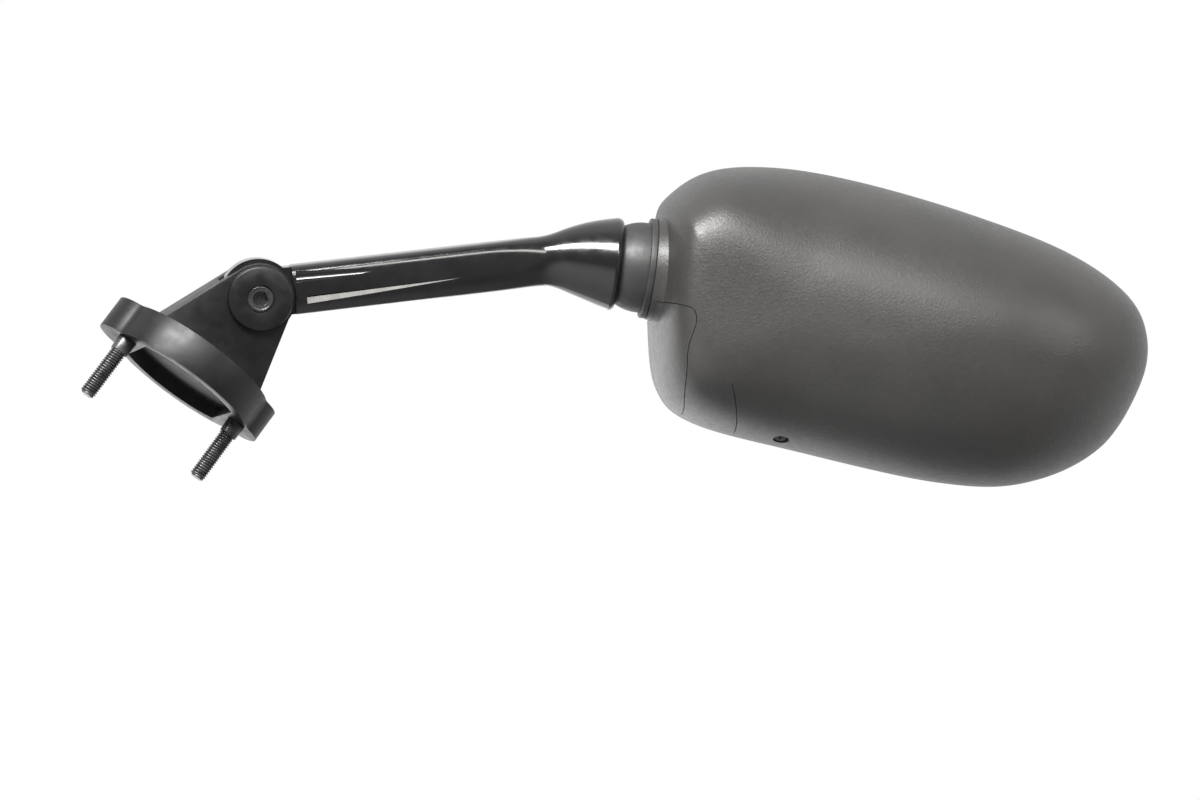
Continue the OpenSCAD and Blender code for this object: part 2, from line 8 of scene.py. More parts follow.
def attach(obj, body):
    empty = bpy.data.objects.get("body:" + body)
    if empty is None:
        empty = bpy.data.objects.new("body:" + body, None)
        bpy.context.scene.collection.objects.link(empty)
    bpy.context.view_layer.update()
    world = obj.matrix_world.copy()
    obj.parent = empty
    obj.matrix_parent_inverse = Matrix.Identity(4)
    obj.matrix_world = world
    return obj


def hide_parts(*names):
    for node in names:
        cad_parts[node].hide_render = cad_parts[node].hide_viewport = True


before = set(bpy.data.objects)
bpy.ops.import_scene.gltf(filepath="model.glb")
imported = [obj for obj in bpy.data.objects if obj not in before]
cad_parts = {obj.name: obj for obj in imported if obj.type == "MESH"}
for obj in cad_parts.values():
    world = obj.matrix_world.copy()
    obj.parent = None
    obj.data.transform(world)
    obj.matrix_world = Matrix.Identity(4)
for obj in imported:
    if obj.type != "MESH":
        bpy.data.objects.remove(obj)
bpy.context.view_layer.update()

# Studio: a white surround, a pale floor well below the mirror, and soft lamps. The camera
# looks slightly upwards at the front of the shell and the hollow underside of the base.
camera_data = bpy.data.cameras.new("camera")
camera_data.lens = 85
camera_data.sensor_width = 36
camera_data.clip_end = 20
camera = bpy.data.objects.new("camera", camera_data)
bpy.context.scene.collection.objects.link(camera)
bpy.context.scene.camera = camera
camera_right = Vector((0.75858, -0.35407, 0.54699))
camera_up = Vector((-0.60512, -0.07152, 0.79291))
camera_back = Vector((-0.24162, -0.93248, -0.26851))
camera_place = Vector((-0.13045, -1.02046, -0.19995))
camera.matrix_world = Matrix.Translation(camera_place) @ Matrix(
    (camera_right, camera_up, camera_back)
).transposed().to_4x4()
bpy.context.scene.view_settings.view_transform = "Standard"


def wire(tree, source, target):
    tree.links.new(source, target)


def sum_up(tree, operation, a, b):
    """Maths node on two values or sockets."""
    node = tree.nodes.new("ShaderNodeMath")
    node.operation = operation
    for socket, value in zip(node.inputs, (a, b)):
        if isinstance(value, (int, float)):
            socket.default_value = value
        else:
            wire(tree, value, socket)
    return node.outputs[0]


world = bpy.data.worlds.new("studio")
bpy.context.scene.world = world
world.use_nodes = True
sky = world.node_tree
sky.nodes.clear()
fill_light = sky.nodes.new("ShaderNodeBackground")
fill_light.inputs["Color"].default_value = (0.96, 0.98, 1, 1)
fill_light.inputs["Strength"].default_value = 0.22
white = sky.nodes.new("ShaderNodeBackground")
white.inputs["Color"].default_value = (1, 1, 1, 1)
white.inputs["Strength"].default_value = 1
# Reflections see the white backdrop, and a dimmer room on the side away from it.
toward_room = Vector((-0.24, -0.93, -0.27))
direction = sky.nodes.new("ShaderNodeTexCoord")
facing = sky.nodes.new("ShaderNodeVectorMath")
facing.operation = "DOT_PRODUCT"
facing.inputs[1].default_value = toward_room
wire(sky, direction.outputs["Generated"], facing.inputs[0])
dim = sky.nodes.new("ShaderNodeMapRange")
dim.interpolation_type = "SMOOTHSTEP"
dim.inputs["From Min"].default_value = -0.2
dim.inputs["From Max"].default_value = 0.4
dim.inputs["To Min"].default_value = 1
dim.inputs["To Max"].default_value = 0.2
wire(sky, facing.outputs["Value"], dim.inputs["Value"])
path = sky.nodes.new("ShaderNodeLightPath")
mirrored = sum_up(sky, "MAXIMUM", path.outputs["Is Glossy Ray"],
                  path.outputs["Is Transmission Ray"])
mirrored = sum_up(sky, "MULTIPLY", mirrored, dim.outputs[0])
choose = sky.nodes.new("ShaderNodeMixShader")
sky_out = sky.nodes.new("ShaderNodeOutputWorld")
wire(sky, sum_up(sky, "MAXIMUM", path.outputs["Is Camera Ray"], mirrored), choose.inputs[0])
wire(sky, fill_light.outputs[0], choose.inputs[1])
wire(sky, white.outputs[0], choose.inputs[2])
wire(sky, choose.outputs[0], sky_out.inputs[0])

floor_drop, floor_radius = 1.2, 6
floor_mesh = bmesh.new()
bmesh.ops.create_circle(floor_mesh, cap_ends=True, segments=96, radius=floor_radius,
                        matrix=Matrix.Translation((0, 0, -floor_drop)))
floor_data = bpy.data.meshes.new("floor")
floor_mesh.to_mesh(floor_data)
floor_mesh.free()
floor = bpy.data.objects.new("floor", floor_data)
bpy.context.scene.collection.objects.link(floor)
floor_paint = bpy.data.materials.new("pale_floor")
floor_paint.use_nodes = True
floor_tree = floor_paint.node_tree
# The camera sees the floor paler than the lamps make it, as white card is.
floor_shader = floor_tree.nodes["Principled BSDF"]
floor_shader.inputs["Base Color"].default_value = (0.8, 0.8, 0.8, 1)
floor_shader.inputs["Roughness"].default_value = 0.9
floor_path = floor_tree.nodes.new("ShaderNodeLightPath")
floor_shader.inputs["Emission Color"].default_value = (0.95, 0.97, 1, 1)
wire(floor_tree, sum_up(floor_tree, "MULTIPLY", floor_path.outputs["Is Camera Ray"], 0.55),
     floor_shader.inputs["Emission Strength"])
floor_data.materials.append(floor_paint)


def lamp(name, right, up, back, width, height, glow, color=(1, 1, 1)):
    """Soft lamp of a given glow, placed by its direction in the camera's right, up and back."""
    aim, distance = Vector((0.08, -0.02, 0.12)), 1.6
    data = bpy.data.lights.new(name, "AREA")
    data.shape = "RECTANGLE"
    data.size = width
    data.size_y = height
    data.color = color
    data.energy = glow * math.pi * width * height
    obj = bpy.data.objects.new(name, data)
    bpy.context.scene.collection.objects.link(obj)
    out = (camera_right * right + camera_up * up + camera_back * back).normalized()
    across = camera_up.cross(out).normalized()
    turn = Matrix((across, out.cross(across), out)).transposed().to_4x4()
    obj.matrix_world = Matrix.Translation(aim + out * distance) @ turn
    obj.visible_camera = False


lamp("key", -0.24, 0.67, 0.71, 1.2, 0.4, 56)
lamp("front", 0.34, 0.43, 0.85, 0.8, 0.3, 13, (1, 0.97, 0.92))
lamp("side", 0.88, 0.2, 0.42, 0.5, 0.9, 4.5, (1, 0.95, 0.9))
lamp("backdrop", -0.45, -0.4, -0.8, 1.6, 1.6, 1.3)

# Base casting: a hollow-footed plate with two ears for the fold pivot, die-cast in
# aluminium and powder coated satin black. Its cast edges are slightly rounded.
MM = Matrix.Scale(0.001, 4)
cast_edge = 0.7


def paint(name, color, roughness, specular=0.5, metallic=0.0, coat=0.0):
    """Start of a material: its shader, its tree and a Mapping node on Object coordinates."""
    material = bpy.data.materials.new(name)
    material.use_nodes = True
    tree = material.node_tree
    shader = tree.nodes["Principled BSDF"]
    shader.inputs["Base Color"].default_value = (*color, 1)
    shader.inputs["Roughness"].default_value = roughness
    shader.inputs["Specular IOR Level"].default_value = specular
    shader.inputs["Metallic"].default_value = metallic
    shader.inputs["Coat Weight"].default_value = coat
    shader.inputs["Coat Roughness"].default_value = 0.05
    place = tree.nodes.new("ShaderNodeMapping")
    coordinates = tree.nodes.new("ShaderNodeTexCoord")
    wire(tree, coordinates.outputs["Object"], place.inputs["Vector"])
    place.inputs["Scale"].default_value = (1000, 1000, 1000)
    return material, tree, shader, place


def noise(tree, place, size, detail=2.0, roughness=0.5, stretch=None):
    """Noise with spots of the given size in millimetres."""
    node = tree.nodes.new("ShaderNodeTexNoise")
    node.inputs["Scale"].default_value = 1 / size
    node.inputs["Detail"].default_value = detail
    node.inputs["Roughness"].default_value = roughness
    source = place.outputs[0]
    if stretch:
        turn = tree.nodes.new("ShaderNodeMapping")
        turn.inputs["Scale"].default_value = stretch
        wire(tree, source, turn.inputs["Vector"])
        source = turn.outputs[0]
    wire(tree, source, node.inputs["Vector"])
    return node.outputs["Fac"]


def spread(tree, value, low, high):
    """A texture's value, mostly 0.3 to 0.7, spread between low and high."""
    node = tree.nodes.new("ShaderNodeMapRange")
    node.inputs["From Min"].default_value = 0.3
    node.inputs["From Max"].default_value = 0.7
    node.inputs["To Min"].default_value = low
    node.inputs["To Max"].default_value = high
    wire(tree, value, node.inputs["Value"])
    return node.outputs[0]


def shades(tree, value, dark, light):
    """Colour that moves between two shades with a texture's value."""
    node = tree.nodes.new("ShaderNodeMix")
    node.data_type = "RGBA"
    node.inputs[6].default_value = (*dark, 1)
    node.inputs[7].default_value = (*light, 1)
    wire(tree, value, node.inputs[0])
    return node.outputs[2]


def layered(tree, fine, share, broad):
    """Share of a fine pattern laid over a broad one."""
    node = tree.nodes.new("ShaderNodeMath")
    node.operation = "MULTIPLY_ADD"
    node.inputs[1].default_value = share
    wire(tree, fine, node.inputs[0])
    wire(tree, broad, node.inputs[2])
    return node.outputs[0]


def bumps(tree, shader, height, depth_mm):
    """Surface relief of the given depth in millimetres."""
    node = tree.nodes.new("ShaderNodeBump")
    node.inputs["Strength"].default_value = 1
    node.inputs["Distance"].default_value = depth_mm / 1000
    wire(tree, height, node.inputs["Height"])
    wire(tree, node.outputs[0], shader.inputs["Normal"])


casting_black, tree, shader, place = paint("cast_black", (0.006, 0.006, 0.0065), 0.36, 0.3)
pits = noise(tree, place, 0.35, 3, 0.6)
waves = noise(tree, place, 9, 2)
bumps(tree, shader, layered(tree, pits, 0.12, waves), 0.05)
wire(tree, spread(tree, noise(tree, place, 3.5, 4), 0.36, 0.46), shader.inputs["Roughness"])
wire(tree, shades(tree, spread(tree, noise(tree, place, 14, 3), 0, 1), (0.003, 0.003, 0.0035),
                  (0.007, 0.0065, 0.0065)), shader.inputs["Base Color"])


def softened(mesh, width, segments=2, angle=28):
    """Edges sharper than the angle rounded off."""
    edges = [e for e in mesh.edges if len(e.link_faces) == 2
             and e.calc_face_angle() > math.radians(angle)]
    bmesh.ops.bevel(mesh, geom=edges, offset=width, offset_type="OFFSET", segments=segments,
                    profile=0.5, affect="EDGES", material=-1, clamp_overlap=True, miter_outer="ARC")


def finished(mesh, name, place, body, material, nodes, smooth):
    """A finished piece: its mesh set in place in metres, painted, and riding on its body.

    Edges sharper than smooth degrees stay sharp.
    """
    bmesh.ops.transform(mesh, matrix=place, verts=mesh.verts)
    bmesh.ops.remove_doubles(mesh, verts=mesh.verts, dist=2e-6)
    bmesh.ops.recalc_face_normals(mesh, faces=mesh.faces)
    data = bpy.data.meshes.new(name)
    mesh.to_mesh(data)
    mesh.free()
    data.shade_smooth()
    data.set_sharp_from_angle(angle=math.radians(smooth))
    data.materials.clear()
    data.materials.append(material)
    piece = bpy.data.objects.new(name, data)
    bpy.context.scene.collection.objects.link(piece)
    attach(piece, body)
    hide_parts(*nodes)


casting = bmesh.new()
casting.from_mesh(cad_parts["base_casting"].data)
bmesh.ops.remove_doubles(casting, verts=casting.verts, dist=2e-6)
bmesh.ops.transform(casting, matrix=MM.inverted(), verts=casting.verts)
bmesh.ops.dissolve_limit(casting, angle_limit=math.radians(0.6), verts=casting.verts,
                         edges=casting.edges)
softened(casting, cast_edge, 3)
finished(casting, "base_foot", MM, "base", casting_black, ["base_casting"], 30)

# Mounting studs: two M6 x 1 steel studs cast into the foot, blackened, with a plain
# shoulder against the mounting face and a chamfered tip.
stud_black, tree, shader, place = paint("stud_black", (0.035, 0.035, 0.038), 0.3, 0.6, 0.35)
wire(tree, spread(tree, noise(tree, place, 0.8, 4), 0.2, 0.42), shader.inputs["Roughness"])
wire(tree, shades(tree, spread(tree, noise(tree, place, 2.4, 4), 0, 1), (0.018, 0.018, 0.02),
                  (0.06, 0.06, 0.062)), shader.inputs["Base Color"])
bumps(tree, shader, noise(tree, place, 0.25, 3), 0.012)
stud_spacing, stud_tip, shoulder_r, shank_r = 50, -25, 3.5, 2.9
thread_crest, thread_root, thread_pitch, thread_start = 2.98, 2.4, 1.0, -5.4


def turned(mesh, profile, steps=64, axis=(1, 0, 0), across=(0, 0, 1)):
    """Body of revolution from (distance along the axis, radius) points."""
    axis, across = Vector(axis), Vector(across)
    line = [mesh.verts.new(axis * a + across * r) for a, r in profile]
    edges = [mesh.edges.new(pair) for pair in zip(line, line[1:])]
    bmesh.ops.spin(mesh, geom=line + edges, cent=(0, 0, 0), axis=axis, angle=2 * math.pi,
                   steps=steps, use_merge=True)
    bmesh.ops.remove_doubles(mesh, verts=mesh.verts, dist=1e-4)
    bmesh.ops.recalc_face_normals(mesh, faces=mesh.faces)


def rounded(points, radius, steps=3, keep=()):
    """Profile with its corners rounded, apart from the first, the last and those in keep."""
    out = [points[0]]
    for i in range(1, len(points) - 1):
        before, here, after = (Vector(points[j]) for j in (i - 1, i, i + 1))
        if i in keep:
            out.append(tuple(here))
            continue
        reach = min(radius, (before - here).length * 0.45, (after - here).length * 0.45)
        a = here + (before - here).normalized() * reach
        b = here + (after - here).normalized() * reach
        for s in range(steps + 1):
            k = s / steps
            out.append(tuple(a * (1 - k) ** 2 + here * 2 * k * (1 - k) + b * k * k))
    out.append(points[-1])
    return out


def mounting_stud(name, x):
    """Threaded stud under the foot: one thread flank wound down it, then its shoulder."""
    thread = bmesh.new()
    flank = [(thread_root, 0), (thread_crest, 0.42), (thread_crest, 0.56), (thread_root, thread_pitch)]
    line = [thread.verts.new((r, 0, stud_tip - thread_pitch + z)) for r, z in flank]
    edges = [thread.edges.new(pair) for pair in zip(line, line[1:])]
    turns, steps = 22, 28
    bmesh.ops.spin(thread, geom=line + edges, cent=(0, 0, 0), axis=(0, 0, 1),
                   dvec=(0, 0, thread_pitch / steps), angle=2 * math.pi * turns, steps=steps * turns)
    bmesh.ops.remove_doubles(thread, verts=thread.verts, dist=1e-3)
    for height, outward in ((stud_tip + 0.01, -1), (thread_start, 1)):
        bmesh.ops.bisect_plane(thread, geom=thread.verts[:] + thread.edges[:] + thread.faces[:],
                               plane_co=(0, 0, height), plane_no=(0, 0, outward), clear_outer=True)
        rim = [e for e in thread.edges if e.is_boundary
               and all(abs(v.co.z - height) < 1e-3 for v in e.verts)]
        bmesh.ops.holes_fill(thread, edges=rim)
    for v in thread.verts:
        limit = 2.15 + (v.co.z - stud_tip)
        reach = Vector((v.co.x, v.co.y)).length
        if reach > limit:
            v.co.x *= limit / reach
            v.co.y *= limit / reach
    shank = [(-5.5, 0), (-5.5, 3.35), (0.2, shoulder_r), (0.2, shank_r), (8.9, shank_r), (8.9, 0)]
    turned(thread, rounded(shank, 0.3, keep=(3,)), 48, (0, 0, 1), (1, 0, 0))
    finished(thread, name, MM @ Matrix.Translation((x, 0, 0)), "base", stud_black,
             ["stud_left" if x < 0 else "stud_right"], 40)


mounting_stud("threaded_stud_a", -stud_spacing / 2)
mounting_stud("threaded_stud_b", stud_spacing / 2)

# Pivot screw: an M6 socket head screw, blackened, sunk in the round boss of the near ear.
# It runs through both ears, which lean back a little over the foot.
screw_black, tree, shader, place = paint("screw_black", (0.05, 0.05, 0.052), 0.22, 0.9, 0.6)
wire(tree, spread(tree, noise(tree, place, 0.9, 4), 0.18, 0.36), shader.inputs["Roughness"])
bumps(tree, shader, noise(tree, place, 0.3, 3), 0.01)
pivot_place, ears_lean = (3.5, 0, 43), 14.4
head_r, screw_r, hex_key = 4.98, 2.98, 5
pivot_frame = (MM @ Matrix.Translation(pivot_place)
               @ Matrix.Rotation(math.radians(ears_lean), 4, "X"))


def round_bar(radius, low, high, axis="X", segments=64, tip=None):
    """Plain bar along an axis of the frame it is used in."""
    bar = bmesh.new()
    bmesh.ops.create_cone(bar, cap_ends=True, segments=segments, radius1=radius,
                          radius2=radius if tip is None else tip, depth=high - low)
    bmesh.ops.translate(bar, vec=(0, 0, (low + high) / 2), verts=bar.verts)
    if axis == "X":
        bmesh.ops.transform(bar, matrix=Matrix.Rotation(math.pi / 2, 4, "Y"), verts=bar.verts)
    if axis == "Y":
        bmesh.ops.transform(bar, matrix=Matrix.Rotation(-math.pi / 2, 4, "X"), verts=bar.verts)
    return bar


def carved(mesh, tools, operation="DIFFERENCE"):
    """The mesh after a boolean with each tool mesh."""
    for tool in tools:
        bmesh.ops.recalc_face_normals(tool, faces=tool.faces)
        body_data = bpy.data.meshes.new("work")
        tool_data = bpy.data.meshes.new("tool")
        mesh.to_mesh(body_data)
        tool.to_mesh(tool_data)
        tool.free()
        body = bpy.data.objects.new("work", body_data)
        cutter = bpy.data.objects.new("tool", tool_data)
        bpy.context.scene.collection.objects.link(body)
        bpy.context.scene.collection.objects.link(cutter)
        step = body.modifiers.new("cut", "BOOLEAN")
        step.operation = operation
        step.solver = "EXACT"
        step.object = cutter
        graph = bpy.context.evaluated_depsgraph_get()
        result = body.evaluated_get(graph).to_mesh()
        mesh.clear()
        mesh.from_mesh(result)
        body.evaluated_get(graph).to_mesh_clear()
        bpy.data.objects.remove(body)
        bpy.data.objects.remove(cutter)
        bpy.data.meshes.remove(body_data)
        bpy.data.meshes.remove(tool_data)
    return mesh


pivot_screw = bmesh.new()
turned(pivot_screw, rounded([(-12.85, 0), (-12.85, 3.8), (-13.1, 4), (-13.1, 4.5), (-12.75, 4.7),
                             (-12.75, head_r), (-7.12, head_r), (-7.12, screw_r), (17, screw_r),
                             (17, 0)], 0.2, keep=(6, 7)), 64, (0, 1, 0), (1, 0, 0))
socket = round_bar(hex_key / 2 / math.cos(math.radians(30)), -14, -10.1, "Y", 6)
chamfer = round_bar(3.45, -13.4, -12.55, "Y", 48, 2.6)
carved(pivot_screw, [socket, chamfer])
finished(pivot_screw, "pivot_screw_head", pivot_frame, "base", screw_black,
         ["pivot_screw"], 30)

# Pivot nut, bush, friction washers and the steel parts inside the neck keep their own
# exact shape and get a plated, oiled or sintered finish.
zinc, tree, shader, place = paint("zinc_plate", (0.55, 0.55, 0.57), 0.3, 0.5, 1)
wire(tree, spread(tree, noise(tree, place, 1.2, 4), 0.22, 0.42), shader.inputs["Roughness"])
wire(tree, shades(tree, spread(tree, noise(tree, place, 4, 4), 0, 1), (0.45, 0.45, 0.46),
                  (0.62, 0.62, 0.64)), shader.inputs["Base Color"])
bumps(tree, shader, noise(tree, place, 0.3, 3), 0.01)
spring_steel, tree, shader, place = paint("oiled_spring_steel", (0.3, 0.3, 0.32), 0.35, 0.5, 1)
grinding = noise(tree, place, 0.8, 4, 0.5, (1, 1, 6))
wire(tree, spread(tree, grinding, 0.25, 0.5), shader.inputs["Roughness"])
wire(tree, shades(tree, spread(tree, noise(tree, place, 5, 4), 0, 1), (0.2, 0.19, 0.18),
                  (0.38, 0.38, 0.4)), shader.inputs["Base Color"])
bronze, tree, shader, place = paint("sintered_bronze", (0.5, 0.38, 0.2), 0.45, 0.5, 1)
wire(tree, shades(tree, spread(tree, noise(tree, place, 0.5, 3), 0, 1), (0.35, 0.25, 0.13),
                  (0.6, 0.48, 0.28)), shader.inputs["Base Color"])
bumps(tree, shader, noise(tree, place, 0.2, 3), 0.02)
acetal, tree, shader, place = paint("natural_acetal", (0.75, 0.75, 0.7), 0.4, 0.5)
shader.inputs["Subsurface Weight"].default_value = 0.1
shader.inputs["Subsurface Scale"].default_value = 0.002
wire(tree, shades(tree, spread(tree, noise(tree, place, 6, 3), 0, 1), (0.7, 0.69, 0.63),
                  (0.8, 0.8, 0.76)), shader.inputs["Base Color"])
bumps(tree, shader, noise(tree, place, 0.6, 3), 0.01)


def given(material, *nodes):
    """The finish of pieces that keep their own exact shape."""
    for node in nodes:
        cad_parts[node].data.materials.clear()
        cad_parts[node].data.materials.append(material)


given(zinc, "pivot_nut", "pivot_bush", "ball_stud", "clamp_plate", "clamp_screws", "backing_screws")
given(bronze, "washer_near")
given(spring_steel, "washer_far", "disc_springs")
given(acetal, "seat_front", "seat_rear", "clamp_cup")

# Arm: die-cast aluminium in gloss black paint, with a tongue between the ears, two
# tapering flutes in each side and a bell that holds the ball joint.
arm_black, tree, shader, place = paint("arm_gloss_black", (0.012, 0.012, 0.013), 0.16, 0.45, 0, 0.25)
bumps(tree, shader, noise(tree, place, 1.6, 2), 0.012)
wire(tree, spread(tree, noise(tree, place, 4, 4), 0.12, 0.22), shader.inputs["Roughness"])
wire(tree, shades(tree, spread(tree, noise(tree, place, 10, 3), 0, 1), (0.004, 0.004, 0.0045),
                  (0.008, 0.008, 0.0085)), shader.inputs["Base Color"])

# Lengths along the bell are taken back from the centre of the ball.
arm_w, arm_h_root, arm_h_tip, edge_soft = 16, 18.6, 18.5, 0.35
bell_r, bell_back, lip_back = 17.6, 40, 10.8
bend_back, bend_reach = 29, 16
arm_rise, neck_turn, neck_drop = math.radians(42.4), math.radians(7.9), math.radians(10.8)
ball_at, arm_root = Vector((145, -3, 0)), Vector((13, 0, 1.3))
arm_frame = pivot_frame @ Matrix.Rotation(-arm_rise, 4, "Y")
bell_frame = (arm_frame @ Matrix.Translation(ball_at) @ Matrix.Rotation(-neck_turn, 4, "Z")
              @ Matrix.Rotation(neck_drop, 4, "Y"))
neck_line = Vector((math.cos(neck_drop) * math.cos(neck_turn),
                    -math.cos(neck_drop) * math.sin(neck_turn), -math.sin(neck_drop)))
bend = ball_at - bend_back * neck_line
arm_line = (bend - arm_root).normalized()
bend_start = bend - bend_reach * arm_line
bend_end = ball_at - (bend_back - bend_reach) * neck_line


def ease(k):
    """0 to 1 with a soft start and a soft stop."""
    return (1 - math.cos(math.pi * min(1, max(0, k)))) / 2


def swell(k):
    """How far the bell has opened: a soft start, nearly straight sides, rounded at the mouth."""
    k = max(0, k)
    share = min(1, (k * k / 0.6 if k < 0.3 else k - 0.15) / 0.85)
    return share * (1.35 - 0.35 * share)


def squareness(back):
    """4 on the flat-sided beam, easing to a circle towards the bell."""
    round_back, square_back = 30, 62
    return 2 + 2 * ease((back - round_back) / (square_back - round_back))


def arm_section(mesh, centre, along, half_w, half_h, squareness):
    """One ring of the arm, squared off from a circle."""
    side = Vector((0, 0, 1)).cross(along).normalized()
    up = along.cross(side)
    ring = bmesh.ops.create_circle(mesh, segments=96, radius=1)["verts"]
    for v in ring:
        x, z = (math.copysign(abs(c) ** (2 / squareness), c) for c in (v.co.x, v.co.y))
        v.co = centre + side * half_w * x + up * half_h * z
    return list({e for v in ring for e in v.link_edges})


arm = bmesh.new()
sections = []
for i in range(16):
    k = i / 16
    sections.append(arm_section(arm, arm_root.lerp(bend_start, k), arm_line, arm_w / 2,
                                (arm_h_root * (1 - k) + arm_h_tip * k) / 2,
                                squareness(bend_back + bend_reach
                                           + (bend_start - arm_root).length * (1 - k))))
for i in range(24):
    k = i / 24
    back = bend_back + bend_reach * (1 - 2 * k)
    wide = swell((bell_back - back) / (bell_back - lip_back))
    centre = bend_start.lerp(bend, k).lerp(bend.lerp(bend_end, k), k)
    sections.append(arm_section(
        arm, centre, arm_line.lerp(neck_line, k).normalized(), arm_w / 2 * (1 - wide) + bell_r * wide,
        arm_h_tip / 2 * (1 - wide) + bell_r * wide, squareness(back)))
for back, r in ((lip_back, bell_r), (10.2, 17.52), (9.6, 17.33), (9.15, 17.02), (8.85, 16.75),
                (8.7, 16.5)):
    sections.append(arm_section(arm, ball_at - back * neck_line, neck_line, r, r, 2))
for low, high in zip(sections, sections[1:]):
    bmesh.ops.bridge_loops(arm, edges=low + high)
bmesh.ops.holes_fill(arm, edges=sections[0])
bmesh.ops.holes_fill(arm, edges=sections[-1])
bmesh.ops.recalc_face_normals(arm, faces=arm.faces)

# The tongue between the ears, and the room that the ears need beside it.
ear_room_r, knuckle_r, tongue_w = 13.6, 14, 8
tongue_centre, tongue_size = (9.5, 0, 1.3), (19, tongue_w, 17.6, 1)
carved(arm, [round_bar(ear_room_r, -arm_w, -tongue_w / 2, "Y", 128),
             round_bar(ear_room_r, tongue_w / 2, arm_w, "Y", 128)])
tongue = bmesh.new()
bmesh.ops.create_cube(tongue, size=1, matrix=Matrix.Translation(tongue_centre)
                      @ Matrix.Diagonal(tongue_size))
carved(arm, [round_bar(knuckle_r, -tongue_w / 2, tongue_w / 2, "Y", 128), tongue], "UNION")


def flute(z0, z1, side):
    """Tapering cutter for one flute of a side."""
    cutter_r, tip_r, deep, dip = 2.8, 0.5, 1.6, 0.9
    length = bend.x - arm_root.x - 14
    cutter = round_bar(cutter_r, 0, length, "X", 96, tip_r)
    start = Matrix.Translation((arm_root.x + 1, side * (arm_w / 2 + cutter_r - deep), z0))
    turn = (Matrix.Rotation(math.radians(side * dip), 4, "Z")
            @ Matrix.Rotation(-math.atan((z1 - z0) / length), 4, "Y"))
    bmesh.ops.transform(cutter, matrix=start @ turn, verts=cutter.verts)
    return cutter


def low_flute(side, slope=math.radians(19)):
    """Tapering wedge for the lower flute: a steep upper wall and a sloping floor."""
    mesh = bmesh.new()
    loops = []
    near_x = arm_root.x + 4.5
    far_x = near_x + 86.5
    near_z, far_z = -2.5, 2.5
    near_w, far_w = 3.4, 0.7
    for x, z, w in ((near_x, near_z, near_w), (far_x, far_z, far_w)):
        corner = [(arm_w / 2 + 1, z - w / 2 - 1 / math.tan(slope)), (arm_w / 2 + 1, z + w / 2 + 0.2),
                  (arm_w / 2 - w * math.tan(slope), z + w / 2)]
        ring = bmesh.ops.create_circle(mesh, segments=3, radius=1)["verts"]
        for v, (y, height) in zip(ring, corner):
            v.co = (x, side * y, height)
        loops.append(list({e for v in ring for e in v.link_edges}))
    bmesh.ops.bridge_loops(mesh, edges=loops[0] + loops[1])
    for loop in loops:
        bmesh.ops.holes_fill(mesh, edges=loop)
    return mesh


carved(arm, [flute(7, 8, -1), flute(7, 8, 1), low_flute(-1), low_flute(1)])
bore = round_bar(5.05, -arm_w, arm_w, "Y", 96)
hollow = bmesh.new()
turned(hollow, [(-24, 0), (-24, 8), (-13.4, 11.25), (-11.25, 13.4), (-9.7, 14.6), (-7.7, 15.6),
                (-7.7, 0)], 96)
bmesh.ops.transform(hollow, matrix=arm_frame.inverted() @ bell_frame, verts=hollow.verts)
carved(arm, [bore, hollow])
softened(arm, edge_soft, 2, 32)
finished(arm, "mirror_arm", arm_frame, "arm", arm_black, ["arm"], 15)

# Neck: the round plastic stub of the head that fills the bell's mouth, with a thin
# collar bead where the shell starts. Moulded matte black.
neck_black, tree, shader, place = paint("neck_plastic", (0.03, 0.03, 0.03), 0.5, 0.5)
bumps(tree, shader, noise(tree, place, 0.5, 3), 0.03)
wire(tree, spread(tree, noise(tree, place, 3, 4), 0.42, 0.58), shader.inputs["Roughness"])
wire(tree, shades(tree, spread(tree, noise(tree, place, 7, 3), 0, 1), (0.014, 0.014, 0.014),
                  (0.024, 0.0235, 0.023)), shader.inputs["Base Color"])
head_frame = bell_frame @ Matrix.Rotation(math.radians(82.6), 4, "X")
stub_r, stub_end, stub_bore = 17.1, 11.5, 11.5
collar_r, collar_start, collar_end = 19, 1.5, 4
neck = bmesh.new()
ball_end = [(stub_r * math.sin(math.radians(a)), stub_r * math.cos(math.radians(a)))
            for a in range(-54, 1, 3)]
collar = [(collar_start, stub_r), (collar_start, collar_r), (collar_end, collar_r),
          (collar_end, stub_r)]
inside = [(stub_end, stub_bore), (0.5, stub_bore), (-3, 9.05), (-5.2, 8), (-7, 6.3)]
turned(neck, [(-7, 6.3), (-13.85, 9.4), *ball_end, *rounded(collar, 0.5, 4), (stub_end, stub_r),
              *inside], 128)
finished(neck, "head_neck", head_frame, "head", neck_black, ["neck"], 30)

# Shell of the head: one injection moulding in fine-grained black plastic, steep above
# the neck and round at the far end, with a soft throat around the neck.
shell_black, tree, shader, place = paint("shell_plastic", (0.027, 0.026, 0.025), 0.38, 0.5)
grain = tree.nodes.new("ShaderNodeTexVoronoi")
grain.feature = "F1"
grain.inputs["Scale"].default_value = 1 / 0.9
wire(tree, place.outputs[0], grain.inputs["Vector"])
ripple = noise(tree, place, 1.1, 4, 0.6)
bumps(tree, shader, layered(tree, grain.outputs["Distance"], 0.5, ripple), 0.085)
wire(tree, spread(tree, noise(tree, place, 2.2, 4), 0.38, 0.46), shader.inputs["Roughness"])
wire(tree, shades(tree, spread(tree, noise(tree, place, 26, 3), 0, 1), (0.023, 0.0225, 0.022),
                  (0.03, 0.0285, 0.027)), shader.inputs["Base Color"])

